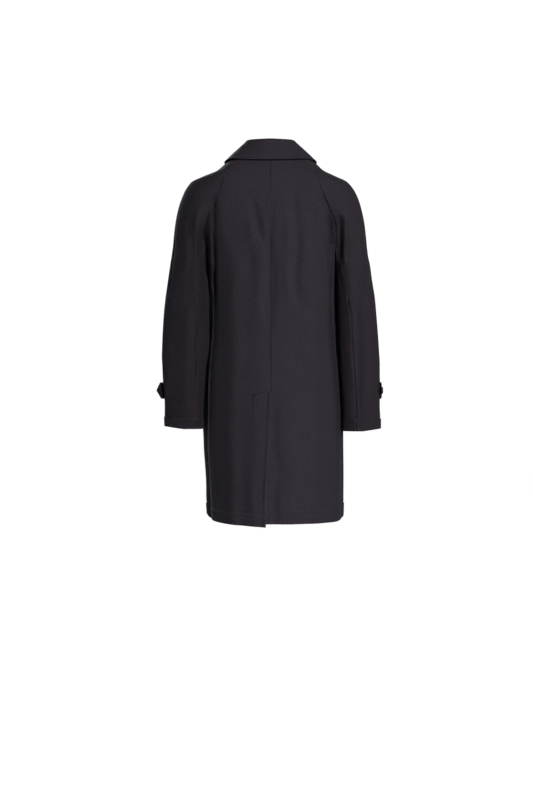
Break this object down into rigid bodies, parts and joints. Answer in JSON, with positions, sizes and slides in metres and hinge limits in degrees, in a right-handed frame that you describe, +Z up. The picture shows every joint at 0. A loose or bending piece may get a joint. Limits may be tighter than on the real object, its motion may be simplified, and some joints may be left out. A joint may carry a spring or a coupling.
{
  "type": "raglan overcoat",
  "caption": "Above-knee wool overcoat in its worn, hollow form: raglan sleeves, turned-down collar, back vent, buttoned front and pointed cuff tabs.",
  "frame": {"origin": "middle of the neck opening at the height of the nape seam, where the shoulders carry the coat", "axes": "+Z up, -Y the way the wearer faces, +X the wearer's left"},
  "size_m": [0.6003, 0.3298, 1.0148],
  "materials": {
    "navy_wool": "napped wool",
    "dark_horn": "satin"
  },
  "bodies": {
    "root": {"back_left": "navy_wool", "back_right": "navy_wool", "collar": "navy_wool", "cuff_button_left": "dark_horn", "cuff_button_right": "dark_horn", "cuff_tab_left": "navy_wool", "cuff_tab_right": "navy_wool", "front_button_1": "dark_horn", "front_button_2": "dark_horn", "front_button_3": "dark_horn", "front_button_4": "dark_horn", "front_left": "navy_wool", "front_right": "navy_wool", "sleeve_under_left": "navy_wool", "sleeve_under_right": "navy_wool", "sleeve_upper_left": "navy_wool", "sleeve_upper_right": "navy_wool"}
  },
  "joints": []
}
